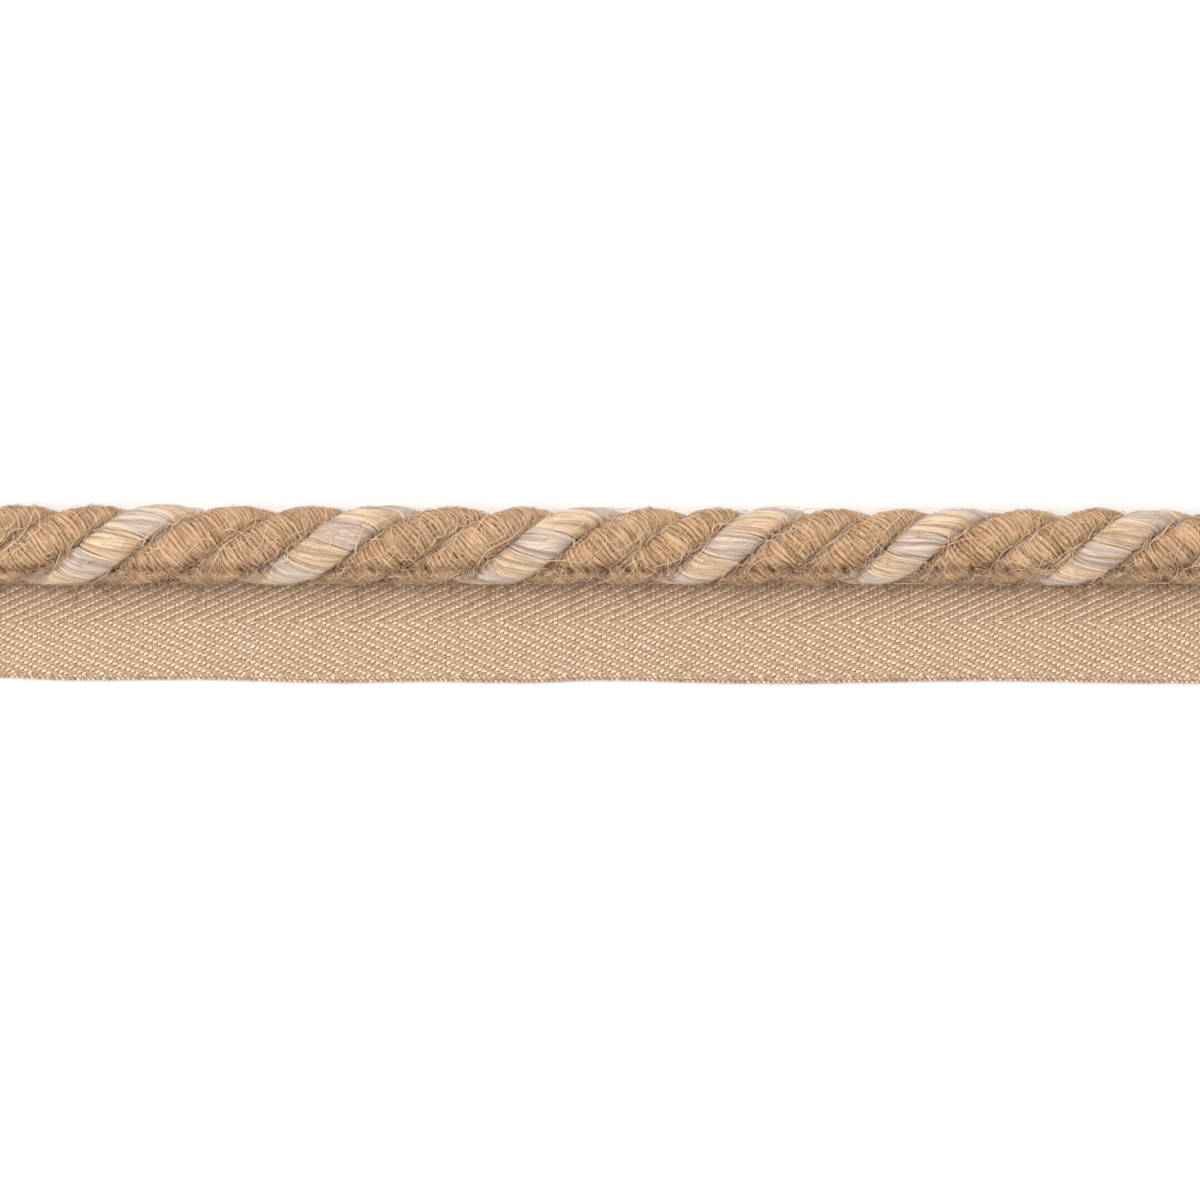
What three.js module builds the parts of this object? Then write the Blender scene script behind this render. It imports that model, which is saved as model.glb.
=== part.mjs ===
import * as THREE from 'three';

// A cut length of decorative lip cord, lying flat with its back down. A rope of
// three strands is sewn along one side to a tape, the flange that goes into a
// seam. Two strands are gimps, a core wrapped by yarn. The third is pale, two
// floss plies twisted about each other.
//
// Lengths are in millimetres. X runs along the cord, +Y points from the tape to
// the rope, and +Z is up. Places are worked out with y = 0 at the rope's sewn
// edge, where the flange starts to show, and the finished group is moved to stand
// on its own origin.

// Whole piece. Flat facets cut across the curves, so these gaps leave about 0.3
// between neighbours at their closest.
const CUT_LENGTH = 168;
const STRAND_GAP = 0.45;
const TAPE_GAP = 0.52;

// Rope: it thins towards +X, and its sewn edge stays straight
const ROPE_RADIUS = 4.78;
const THINNING = 0.0025;

// Lay of the rope. A row is one turn: where the pale strand tops the rope's +Y
// side, and the turns that its plies have made about each other by then.
const LAY = [
  { x: -108.1, ropeTurns: -4, plyTurns: -16.9 },
  { x: -81.1, ropeTurns: -3, plyTurns: -12.7 },
  { x: -54.1, ropeTurns: -2, plyTurns: -8.45 },
  { x: -27.1, ropeTurns: -1, plyTurns: -4.2 },
  { x: -1.3, ropeTurns: 0, plyTurns: 0 },
  { x: 22.0, ropeTurns: 1, plyTurns: 4 },
  { x: 45.1, ropeTurns: 2, plyTurns: 8 },
  { x: 69.6, ropeTurns: 3, plyTurns: 12.3 },
  { x: 94.1, ropeTurns: 4, plyTurns: 16.5 },
];

// Strands: where each stands around the rope, in turns after the pale one, and
// its share of a turn. They press against each other, so each fills a wedge.
const STRAND_ORBIT = 0.585 * ROPE_RADIUS;
const STRAND_HALF_DEPTH = ROPE_RADIUS - STRAND_ORBIT;
const PITCH = 24.75;
const PALE_STRAND = { after: 0, share: 0.307 };
const GIMP_STRAND_A = { after: 0.3345, share: 0.362 };
const GIMP_STRAND_B = { after: 0.681, share: 0.331 };

// How round a strand is: a gimp's crown falls away to a wide groove at a power
// over 1, and the soft pale strand is pressed full into its wedge, as a
// superellipse with a power over 2
const GIMP_CROWN = 1.4;
const PALE_FULLNESS = 2.86;

// A thick place in the yarn of strand b, where it tops the rope
const SLUB = { x: 63.2, halfLength: 2.8, swell: 0.2 };

// Plies of the pale strand: a pair of ovals that turn about its middle, in
// shares of the strand's half width
const PLY_ORBIT = 0.55;
const PLY_HALF_DEPTH = 0.415;
const PLY_HALF_WIDTH = 0.77;

// The furthest that a strand's square section leans from its middle, with room
const MOST_LEAN = 5;

// Tape: it reaches in under the rope as far as the sewing needs. Its free edge
// is a selvedge that wanders a little.
const TAPE_THICKNESS = 1;
const TAPE_INNER_EDGE = 3.05;
const TAPE_FREE_EDGE = [
  { x: -84, y: -11.4 },
  { x: -75, y: -11.55 },
  { x: -66, y: -11.9 },
  { x: -50, y: -11.8 },
  { x: -34, y: -12.2 },
  { x: -22, y: -12.05 },
  { x: -9, y: -12.2 },
  { x: 0, y: -11.9 },
  { x: 14, y: -12.2 },
  { x: 25, y: -12.3 },
  { x: 47, y: -11.95 },
  { x: 64, y: -12.2 },
  { x: 84, y: -12.35 },
];
const TAPE_STEP = 4;

// The rope's underside is pressed up where it is sewn over the tape, in a soft
// ramp that starts just past the tape's inner edge
const LIFT = TAPE_THICKNESS + TAPE_GAP;
const LIFT_DEPTH = 2;
const LIFT_STARTS = 5.25;
const LIFT_IS_FULL = 3.3;

// Facets, counted around and along each piece
const GIMP_SIDES = 14;
const GIMP_STEPS = 105;
const PLY_SIDES = 8;
const PLY_STEPS = 300;

const SILVER = 0xd9cec6;
const CREAM = 0xe3c298;
const GIMP_BEIGE = 0xbe9b7d;
const TAPE_BEIGE = 0xc9a888;

// The value of one column at x, on a smooth curve through a table's rows
function readTable(rows, column, x) {
  const last = rows.length - 1;
  const next = rows.findIndex((row) => row.x > x);
  const right = next < 0 ? last : Math.max(next, 1);
  const left = right - 1;
  const span = rows[right].x - rows[left].x;
  const slopeAt = (i) => {
    const before = rows[Math.max(i - 1, 0)];
    const after = rows[Math.min(i + 1, last)];
    return (after[column] - before[column]) / (after.x - before.x);
  };
  const t = (x - rows[left].x) / span;
  const ease = t * t * (3 - 2 * t);
  const value = rows[left][column] * (1 - ease) + rows[right][column] * ease;
  const bend = slopeAt(left) * t * (1 - t) ** 2 - slopeAt(right) * t * t * (1 - t);
  return value + bend * span;
}

function ropeRadiusAt(x) {
  return ROPE_RADIUS - THINNING * x;
}

// How far a point of the rope is raised to clear the tape
function liftAt(y, z) {
  const share = THREE.MathUtils.smoothstep(-y, -LIFT_STARTS, -LIFT_IS_FULL);
  return share * LIFT * Math.exp(-z / LIFT_DEPTH);
}

// A point of a strand at x. (a, b) is its place in the strand's section, seen as
// the unit disc: a points out from the rope's axis, and b around the rope.
function placeInRope(strand, x, a, b) {
  const out = STRAND_ORBIT + STRAND_HALF_DEPTH * a;
  const halfWedge = Math.PI * strand.share - Math.asin(STRAND_GAP / 2 / out);
  const middle = 2 * Math.PI * (strand.after - readTable(LAY, 'ropeTurns', x));
  const angle = middle + halfWedge * b;
  const radius = ropeRadiusAt(x);
  const size = radius / ROPE_RADIUS;
  const y = radius + size * out * Math.cos(angle);
  const z = radius + size * out * Math.sin(angle);
  return new THREE.Vector3(x, y, z + liftAt(y, z));
}

// A closed rod along X whose points place(x, a, b) moves, (a, b) being a point of
// the unit disc
function bentRod(sides, steps, place) {
  const rod = new THREE.CylinderGeometry(1, 1, CUT_LENGTH, sides, steps);
  rod.rotateZ(-Math.PI / 2);
  const points = rod.attributes.position;
  for (let i = 0; i < points.count; i += 1) {
    const moved = place(points.getX(i), points.getY(i), points.getZ(i));
    points.setXYZ(i, moved.x, moved.y, moved.z);
  }
  rod.computeVertexNormals();
  return rod;
}

// One gimp strand, with a rounded crown
function gimpStrand(strand, swellAt) {
  return bentRod(GIMP_SIDES, GIMP_STEPS, (x, a, b) => {
    const depth = Math.sign(a) * Math.abs(a) ** GIMP_CROWN;
    return placeInRope(strand, x, a > 0 ? depth * (1 + swellAt(x)) : depth, b);
  });
}

function slubSwell(x) {
  return SLUB.swell * Math.exp(-(((x - SLUB.x) / SLUB.halfLength) ** 2));
}

// Presses a place in a round section out to the section's full corners
function pressFull(a, b) {
  const across = Math.hypot(a, b);
  const sum = Math.abs(a / across) ** PALE_FULLNESS + Math.abs(b / across) ** PALE_FULLNESS;
  const full = sum ** (-1 / PALE_FULLNESS);
  return { a: a * full, b: b * full };
}

// A section square to a strand's own axis leans along X. This is how far it is
// ahead of its middle at (a, b).
function leanAt(strand, a, b) {
  const steep = (2 * Math.PI) / PITCH;
  const out = STRAND_ORBIT + STRAND_HALF_DEPTH * a;
  const reach = steep * STRAND_ORBIT * out;
  return reach * Math.sin((Math.PI * strand.share * b) / (1 + steep * reach));
}

// The section of the strand, square to its own axis, that holds a ply's point at x
function findSection(sectionAt, x) {
  let low = x - MOST_LEAN;
  let high = x + MOST_LEAN;
  for (let i = 0; i < 30; i += 1) {
    const tried = (low + high) / 2;
    const { a, b } = sectionAt(tried);
    if (tried + leanAt(PALE_STRAND, a, b) > x) {
      high = tried;
    } else {
      low = tried;
    }
  }
  return sectionAt((low + high) / 2);
}

// One ply of the pale strand. start is its place about the strand, in turns.
function palePly(start) {
  return bentRod(PLY_SIDES, PLY_STEPS, (x, a, b) => {
    const sectionAt = (station) => {
      const angle = 2 * Math.PI * (start + readTable(LAY, 'plyTurns', station));
      const depth = PLY_ORBIT + PLY_HALF_DEPTH * a;
      const width = PLY_HALF_WIDTH * b;
      const out = depth * Math.cos(angle) - width * Math.sin(angle);
      const around = depth * Math.sin(angle) + width * Math.cos(angle);
      return pressFull(out, around);
    };
    const section = findSection(sectionAt, x);
    return placeInRope(PALE_STRAND, x, section.a, section.b);
  });
}

// The tape lies flat. Its inner edge is straight, and its free edge wanders.
function tape() {
  const end = CUT_LENGTH / 2;
  const outline = new THREE.Shape();
  outline.moveTo(end, TAPE_INNER_EDGE);
  outline.lineTo(-end, TAPE_INNER_EDGE);
  for (let x = -end; x <= end; x += TAPE_STEP) {
    outline.lineTo(x, readTable(TAPE_FREE_EDGE, 'y', x));
  }
  return new THREE.ExtrudeGeometry(outline, { depth: TAPE_THICKNESS, bevelEnabled: false });
}

function piece(name, geometry, color, roughness) {
  const material = new THREE.MeshStandardMaterial({ color, roughness, metalness: 0 });
  const mesh = new THREE.Mesh(geometry, material);
  mesh.name = name;
  return mesh;
}

const cord = new THREE.Group();
cord.add(
  piece('tape', tape(), TAPE_BEIGE, 0.9),
  piece('gimp_strand_a', gimpStrand(GIMP_STRAND_A, () => 0), GIMP_BEIGE, 0.85),
  piece('gimp_strand_b', gimpStrand(GIMP_STRAND_B, slubSwell), GIMP_BEIGE, 0.85),
  piece('pale_ply_silver', palePly(0), SILVER, 0.5),
  piece('pale_ply_cream', palePly(0.5), CREAM, 0.5),
);

// The origin is the middle of the piece's underside
const box = new THREE.Box3().setFromObject(cord);
const middle = box.getCenter(new THREE.Vector3());
cord.position.set(-middle.x, -middle.y, -box.min.z);

export default cord;
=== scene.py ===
import math
from collections import namedtuple

import bmesh
import bpy
import numpy as np
from bpy.props import FloatProperty, FloatVectorProperty, IntProperty, PointerProperty
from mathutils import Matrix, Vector


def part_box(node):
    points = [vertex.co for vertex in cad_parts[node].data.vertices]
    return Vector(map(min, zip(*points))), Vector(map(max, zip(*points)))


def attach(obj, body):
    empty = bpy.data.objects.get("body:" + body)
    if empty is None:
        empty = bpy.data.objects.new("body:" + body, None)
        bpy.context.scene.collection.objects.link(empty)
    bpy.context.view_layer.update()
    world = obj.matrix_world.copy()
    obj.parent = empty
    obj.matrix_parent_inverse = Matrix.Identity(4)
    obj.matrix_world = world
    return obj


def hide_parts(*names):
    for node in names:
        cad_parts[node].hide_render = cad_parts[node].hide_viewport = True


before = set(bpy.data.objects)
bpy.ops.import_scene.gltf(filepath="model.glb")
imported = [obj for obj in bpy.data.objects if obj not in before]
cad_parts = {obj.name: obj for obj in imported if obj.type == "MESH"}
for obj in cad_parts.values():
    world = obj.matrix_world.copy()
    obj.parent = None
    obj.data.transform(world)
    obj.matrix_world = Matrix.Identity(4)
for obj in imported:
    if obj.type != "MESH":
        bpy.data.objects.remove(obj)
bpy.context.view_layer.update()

bl_info = {
    "name": "Decorative Lip Cord",
    "version": (1, 0, 0),
    "blender": (4, 5, 0),
    "location": "View3D > Sidebar > Lip Cord",
    "description": "A twisted rope of gimp and floss strands, sewn to a herringbone tape",
    "category": "Add Mesh",
}

# All places are worked out in millimetres, with y = 0 at the rope's sewn edge,
# and go to metres and the part's own frame when a mesh is written.
MM = 0.001
HALF_LENGTH = 84.0
TAPE_INNER_EDGE = 3.05
SEWN_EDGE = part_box("tape")[1][1] / MM - TAPE_INNER_EDGE

# Rope, laid left-handed: where each of its turns starts, and the turns that the
# pale strand's plies have made about each other by then
ROPE_RADIUS = 4.78
THINNING = 0.0025
PITCH = 24.75
LAY_X = np.array([-108.1, -81.1, -54.1, -27.1, -1.3, 22.0, 45.1, 69.6, 94.1])
ROPE_TURNS = np.arange(-4.0, 5.0)
PLY_TURNS = np.array([-16.9, -12.7, -8.45, -4.2, 0, 4, 8, 12.3, 16.5])

# Strands: where each stands round the rope in turns, its share of a turn, how far
# the sewing draws it in, and the swell of its slub
Strand = namedtuple("Strand", "after share sewn_in slub")
PALE_STRAND = Strand(0.0, 0.307, 0.3, 0.0)
GIMP_STRANDS = {
    "gimp_strand_a": Strand(0.3345, 0.362, 1.0, 0.0),
    "gimp_strand_b": Strand(0.681, 0.331, 1.0, 0.2),
}
STRAND_ORBIT = 0.585 * ROPE_RADIUS
STRAND_HALF_DEPTH = ROPE_RADIUS - STRAND_ORBIT
STRAND_GAP = 0.12
LENGTH_SHARE = math.hypot(1, 2 * math.pi * STRAND_ORBIT / PITCH)
SLUB_X, SLUB_HALF_LENGTH = 63.2, 2.8

# Roundness of the sections: the power of a gimp's crown, and the superellipses
# that the pale strand and its plies are pressed into
GIMP_CROWN = 1.4
PALE_FULLNESS = 2.86
PLY_FULLNESS = 8.0

# Plies of the pale strand: their sizes in shares of its half width, how much more
# they lean than it, the turns that the sewing holds them back, and the length of a
# turn of their own floss
PLY_ORBIT = 0.5
PLY_HALF_DEPTH = 0.5
PLY_HALF_WIDTH = 0.98
PLY_EXTRA_LEAN = 1.25
SEWING_HOLDS_BACK = 0.2
FLOSS_TWIST = 14.0

# Tape, with the places of its free edge
EDGE_X = np.array([-84.0, -75, -66, -50, -34, -22, -9, 0, 14, 25, 47, 64, 84])
EDGE_Y = -np.array([11.4, 11.55, 11.9, 11.8, 12.2, 12.05, 12.2, 11.9, 12.2, 12.3, 11.95, 12.2,
                    12.35])
TAPE_TOP = 0.85
REVERSAL = -4.55
REVERSAL_TO_EDGE = 7.55
REVERSAL_TO_INNER_EDGE = TAPE_INNER_EDGE - REVERSAL
TWILL_START = 3.89
TWILL_REPEAT = 4
SELVEDGE_SPACING = 0.63

# The rope's underside is pressed up over the tape in a soft ramp
LIFT = 1.1
LIFT_DEPTH = 2.0
LIFT_STARTS = 5.25
LIFT_IS_FULL = 3.3

# The line of stitches that holds the rope to the tape. Their chance differences
# come round again after STITCH_KINDS stitches.
STITCH_Y = 1.85
STITCH_FIRST_X = 1.0
STITCH_KINDS = 256

# Hairs: how many of each kind, seeds of the frayed ends, and the lowest place of any
ON_FLOSS = 1900
BESIDE_FLOSS = 1150
OVER_TAPE = 1100
STRAYS = 330
AT_STITCHES = 1900
FRAYED = 260
FRAY_SEEDS = {"gimp_strand_a": 508, "gimp_strand_b": 855, "pale_strand": 172}
LOWEST_HAIR = 0.02

# Long hairs pulled out over the rope. Columns: x, y, heading in degrees, length,
# lift, bend.
PULLED_HAIRS = np.array([
    (54.6, 2.2, -12, 7.5, 0.3, -0.09),
    (56.5, 2.6, 14, 6.5, 0.35, -0.13),
    (53.0, 1.2, 4, 6.0, 0.2, 0.1),
    (-29.5, 5.0, 35, 6.5, 0.3, 0.14),
    (-12.5, 4.4, 44, 8.0, 0.3, 0.07),
    (28.0, 4.6, 40, 8.0, 0.3, -0.1),
])

# Stage, in metres
SENSOR_WIDTH, FOCAL_LENGTH = 36, 360
CAMERA_Y = -0.00072
LAMP_PLACE = Vector((-0.25, 0.17, 1.0))
LAMP_LENGTH, LAMP_WIDTH = 1.4, 1.0
FLOOR_HALF_SIZE = 3.0
FLOOR_Z = -0.0002

# Tint of the sheen on warm cloth
WARM_SHEEN = (1.0, 0.9, 0.8, 1)


def smooth_step(value, start, end):
    t = np.clip((value - start) / (end - start), 0, 1)
    return t * t * (3 - 2 * t)


def smooth_through(knots, values, x):
    """The value at x of a smooth curve through the knots."""
    slopes = np.gradient(values, knots, edge_order=1)
    slopes[1:-1] = (values[2:] - values[:-2]) / (knots[2:] - knots[:-2])
    left = np.clip(np.searchsorted(knots, x, side="right") - 1, 0, len(knots) - 2)
    span = knots[left + 1] - knots[left]
    t = (x - knots[left]) / span
    ease = t * t * (3 - 2 * t)
    level = values[left] * (1 - ease) + values[left + 1] * ease
    bend = slopes[left] * t * (1 - t) ** 2 - slopes[left + 1] * t * t * (1 - t)
    return level + bend * span


def rope_turns(x):
    return smooth_through(LAY_X, ROPE_TURNS, x)


def arch(t):
    return np.sin(np.pi * t)


def unit(vectors):
    return vectors / (np.linalg.norm(vectors, axis=-1, keepdims=True) + 1e-12)


def lean(strand, a, b):
    """How far a section square to a strand's axis is ahead of its middle at (a, b)."""
    steep = 2 * np.pi / PITCH
    reach = steep * STRAND_ORBIT * (STRAND_ORBIT + STRAND_HALF_DEPTH * a)
    return reach * np.sin(np.pi * strand.share * b / (1 + steep * reach))


def drawn_down(x, y, z):
    """How far the sewing draws the rope's upper side down, in a channel with pits."""
    look = bpy.context.scene.lip_cord.stitch
    spacing = look.spacing / MM
    number = np.round((x - STITCH_FIRST_X) / spacing).astype(int)
    rng = np.random.default_rng(5)
    strength, wander = (
        rng.uniform(low, high, STITCH_KINDS)[number % STITCH_KINDS]
        for low, high in ((0.3, 1.2), (-0.4, 0.4))
    )
    along = x - STITCH_FIRST_X - number * spacing - wander
    across = y - STITCH_Y - wander * 0.6
    channel = np.exp(-(across / 0.6) ** 2) * look.channel / MM
    slit = np.exp(-((along + 0.55 * across) / 0.27) ** 2 - (across / 0.5) ** 2)
    return (channel + strength * slit * look.pit / MM) * smooth_step(z, 2.5, 6)


def in_rope(strand, x, a, b):
    """A point of a strand at x. (a, b) is its place in the strand's section."""
    out = STRAND_ORBIT + STRAND_HALF_DEPTH * a
    half_wedge = np.pi * strand.share - np.arcsin(np.clip(STRAND_GAP / 2 / out, -1, 1))
    angle = 2 * np.pi * (strand.after - rope_turns(x)) + half_wedge * b
    radius = ROPE_RADIUS - THINNING * x
    size = radius / ROPE_RADIUS
    y = radius + size * out * np.cos(angle)
    z = radius + size * out * np.sin(angle)
    over_tape = smooth_step(-y, -LIFT_STARTS, -LIFT_IS_FULL)
    z = z + over_tape * LIFT * np.exp(-z / LIFT_DEPTH)
    z = z - strand.sewn_in * drawn_down(x, y, z)
    return np.stack([x, y, z], axis=-1)


def round_gimp(strand, arc, turn):
    """A gimp strand's skin at a length of its own axis, and an angle round it.

    Each round of the skin stands square to the strand's axis, as yarn wraps do."""
    a = np.sign(np.cos(turn)) * np.abs(np.cos(turn)) ** GIMP_CROWN
    b = np.sin(turn)
    x = arc / LENGTH_SHARE
    swell = strand.slub * np.exp(-(((x - SLUB_X) / SLUB_HALF_LENGTH) ** 2))
    a = np.where(a > 0, a * (1 + swell), a)
    return in_rope(strand, x + lean(strand, a, b), a, b)


def filled_out(a, b, power):
    """Presses a place in a round section out towards the section's corners."""
    across = np.hypot(a, b) + 1e-9
    full = (np.abs(a / across) ** power + np.abs(b / across) ** power) ** (-1 / power)
    return a * full, b * full


def round_ply(start, x, turn, proud=0.0):
    """A floss ply's skin at x, and an angle round it."""
    at_sewn_edge = (0.5 - 0.5 * np.cos(2 * np.pi * rope_turns(x))) ** 4
    turns = smooth_through(LAY_X, PLY_TURNS, x) - SEWING_HOLDS_BACK * at_sewn_edge
    angle = 2 * np.pi * (start + turns)
    depth, width = filled_out(np.cos(turn), np.sin(turn), PLY_FULLNESS)
    depth = PLY_ORBIT + (PLY_HALF_DEPTH + proud) * depth
    width = (PLY_HALF_WIDTH + proud) * width
    a = depth * np.cos(angle) - width * np.sin(angle)
    b = depth * np.sin(angle) + width * np.cos(angle)
    squeeze = np.minimum(1, 1 / np.maximum(np.hypot(a, b) - proud, 1e-9))
    a, b = filled_out(a * squeeze, b * squeeze, PALE_FULLNESS)
    return in_rope(PALE_STRAND, x + PLY_EXTRA_LEAN * lean(PALE_STRAND, a, b), a, b)


def along_table(table, place):
    """Reads a random table smoothly at a place."""
    low = np.floor(place).astype(int) % len(table)
    t = smooth_step(place - np.floor(place), 0, 1)
    return table[low] * (1 - t) + table[(low + 1) % len(table)] * t


def crown_height(x, y):
    """Height of the round rope's upper side."""
    radius = ROPE_RADIUS - THINNING * x
    return radius + np.sqrt(np.maximum(radius ** 2 - (radius - y) ** 2, 0))


def finished(work, name):
    mesh = bpy.data.meshes.new(name)
    work.to_mesh(mesh)
    work.free()
    return mesh


def set_points(mesh, points):
    """Writes points in millimetres from the sewn edge, as metres in the part's frame."""
    moved = np.array(points, dtype=np.float64).reshape(-1, 3)
    moved[:, 1] += SEWN_EDGE
    mesh.vertices.foreach_set("co", (moved * MM).astype(np.float32).ravel())
    mesh.update()


def set_attribute(mesh, name, values):
    layer = mesh.attributes.new(name, "FLOAT", "POINT")
    layer.data.foreach_set("value", np.asarray(values, dtype=np.float32).ravel())


def set_smooth(mesh):
    mesh.polygons.foreach_set("use_smooth", np.ones(len(mesh.polygons), dtype=bool))


def points_of(mesh):
    flat = np.empty(len(mesh.vertices) * 3, dtype=np.float32)
    mesh.vertices.foreach_get("co", flat)
    return flat.reshape(-1, 3).astype(np.float64)


def grid_mesh(name, across, along):
    """A flat grid with a UV map, and the place of each vertex in it from 0 to 1."""
    work = bmesh.new()
    work.loops.layers.uv.new("UVMap")
    bmesh.ops.create_grid(work, x_segments=across, y_segments=along, size=0.5, calc_uvs=True)
    mesh = finished(work, name)
    place = points_of(mesh) + 0.5
    return mesh, place[:, 0], place[:, 1]


def set_uv(mesh, u_at, v_at):
    """Writes each corner's UV from functions of its place in the grid."""
    layer = mesh.uv_layers[0].data
    flat = np.empty(len(layer) * 2, dtype=np.float32)
    layer.foreach_get("uv", flat)
    u, v = flat.reshape(-1, 2).astype(np.float64).T
    placed = np.stack([u_at(u, v), v_at(u, v)], axis=-1)
    layer.foreach_set("uv", placed.astype(np.float32).ravel())


def cut_off(work, point, outward, within):
    """Removes what lies beyond a plane."""
    parts = [*work.verts, *work.edges, *work.faces]
    bmesh.ops.bisect_plane(work, geom=parts, dist=within, plane_co=point, plane_no=outward,
                           clear_outer=True)


def close_and_cut(mesh):
    """Joins a rolled grid's seam, cuts both ends square and closes them.

    The ends take the second material."""
    work = bmesh.new()
    work.from_mesh(mesh)
    bmesh.ops.remove_doubles(work, verts=work.verts, dist=1e-6)
    for side in (-1, 1):
        cut_off(work, (side * HALF_LENGTH * MM, 0, 0), (side, 0, 0), 1e-7)
    before = set(work.faces)
    rims = [edge for edge in work.edges if edge.is_boundary]
    bmesh.ops.holes_fill(work, edges=rims, sides=0)
    for face in work.faces:
        face.smooth = face in before
        face.material_index = 0 if face in before else 1
    bmesh.ops.recalc_face_normals(work, faces=work.faces)
    work.to_mesh(mesh)
    work.free()


def show(name, data):
    thing = bpy.data.objects.new(name, data)
    bpy.context.scene.collection.objects.link(thing)
    return thing


def add_piece(mesh, materials, stands_for=None):
    """Puts a finished mesh in the scene as a piece of the cord."""
    piece = show(mesh.name, mesh)
    for material in materials:
        mesh.materials.append(material)
    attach(piece, "root")
    if stands_for:
        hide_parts(stands_for)
    return piece


def many_of(template, name, count):
    """One mesh of many copies of a template, in order, and each copy's own points."""
    apart = 4
    holder = show("row", template)
    row = holder.modifiers.new("row", "ARRAY")
    row.count = count
    row.use_relative_offset = False
    row.use_constant_offset = True
    row.constant_offset_displace = (apart, 0, 0)
    seen = holder.evaluated_get(bpy.context.evaluated_depsgraph_get())
    mesh = bpy.data.meshes.new_from_object(seen)
    mesh.name = name
    bpy.data.objects.remove(holder)
    points = points_of(mesh).reshape(count, -1, 3)
    points[:, :, 0] -= apart * np.arange(count)[:, None]
    set_smooth(mesh)
    return mesh, points


def hair_template(joints):
    """A three-sided hair from x = 0 to 1, one unit in radius."""
    work = bmesh.new()
    bmesh.ops.create_cone(work, cap_ends=True, cap_tris=True, segments=3, radius1=1, radius2=1,
                          depth=1)
    long_edges = [e for e in work.edges if abs(e.verts[0].co.z - e.verts[1].co.z) > 0.5]
    bmesh.ops.subdivide_edges(work, edges=long_edges, cuts=joints, use_grid_fill=True)
    for vert in work.verts:
        vert.co = Vector((vert.co.z + 0.5, vert.co.x, vert.co.y))
    return finished(work, "hair")


def lay_hairs(name, path, radius, joints, tones):
    """Hairs whose middle lines path(t) gives, t being (hairs, points) from 0 to 1."""
    mesh, local = many_of(hair_template(joints), name, len(radius))
    t = np.clip(local[:, :, 0], 0, 1)
    step = 0.02
    ahead = unit(path(np.minimum(t + step, 1)) - path(np.maximum(t - step, 0)))
    side = unit(np.cross(ahead, np.array([0.13, 0.37, 0.92])))
    other = np.cross(ahead, side)
    thick = (radius[:, None] * (1 - 0.4 * t ** 2))[..., None]
    points = path(t) + thick * (local[:, :, 1:2] * side + local[:, :, 2:3] * other)
    points[..., 2] = np.maximum(points[..., 2], LOWEST_HAIR)
    set_points(mesh, points)
    set_attribute(mesh, "tone", np.repeat(np.clip(tones, 0, 1), t.shape[1]))
    return mesh


def lay_beads(name, half, places, tilt, half_sizes, tones):
    """Round beads, or their upper halves, laid turned by a tilt on the tape."""
    work = bmesh.new()
    bmesh.ops.create_uvsphere(work, u_segments=8, v_segments=4, radius=1)
    if half:
        cut_off(work, (0, 0, 0), (0, 0, -1), 0.01)
    mesh, local = many_of(finished(work, "bead"), name, len(tilt))
    along, across, up = (local[:, :, i] * half_sizes[i][:, None] for i in range(3))
    cos, sin = np.cos(tilt)[:, None], np.sin(tilt)[:, None]
    x, y, z = (place[:, None] for place in places)
    points = [x + along * cos - across * sin, y + along * sin + across * cos, z + up]
    set_points(mesh, np.stack(points, axis=-1))
    set_attribute(mesh, "tone", np.repeat(tones, local.shape[1]))
    return mesh


class Wiring:
    """Adds nodes to a tree and joins them."""

    def __init__(self, tree):
        self.tree = tree

    def put(self, socket, value):
        if isinstance(value, bpy.types.NodeSocket):
            self.tree.links.new(value, socket)
        else:
            socket.default_value = value

    def node(self, kind, settings=None, numbered=None, **named):
        """Adds a node, its inputs given by number or by name, and gives its outputs."""
        made = self.tree.nodes.new(kind)
        for key, value in (settings or {}).items():
            setattr(made, key, value)
        for key, value in (numbered or {}).items():
            self.put(made.inputs[key], value)
        for key, value in named.items():
            self.put(made.inputs[key.replace("_", " ")], value)
        return made.outputs

    def math(self, operation, *values):
        return self.node("ShaderNodeMath", {"operation": operation}, dict(enumerate(values)))[0]

    def vector(self, operation, first, second):
        settings = {"operation": operation}
        return self.node("ShaderNodeVectorMath", settings, {0: first, 1: second})[0]

    def mix(self, factor, first, second):
        colors = {0: factor, 6: first, 7: second}
        return self.node("ShaderNodeMix", {"data_type": "RGBA"}, colors)[2]

    def noise(self, vector, scale, detail=2.0, roughness=0.5):
        return self.node("ShaderNodeTexNoise", Vector=vector, Scale=scale, Detail=detail,
                         Roughness=roughness)["Fac"]

    def spread(self, value, low, high):
        """0 below low and 1 above high, with a soft step between."""
        return self.node("ShaderNodeMapRange", {"interpolation_type": "SMOOTHSTEP"}, Value=value,
                         From_Min=low, From_Max=high)["Result"]

    def group(self, tree, **values):
        return self.node("ShaderNodeGroup", {"node_tree": tree}, **values)

    def attribute(self, name):
        return self.node("ShaderNodeAttribute", {"attribute_name": name})["Fac"]

    def uv(self):
        return self.node("ShaderNodeUVMap", {"uv_map": "UVMap"})["UV"]

    def place(self):
        return self.node("ShaderNodeTexCoord")["Object"]


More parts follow.
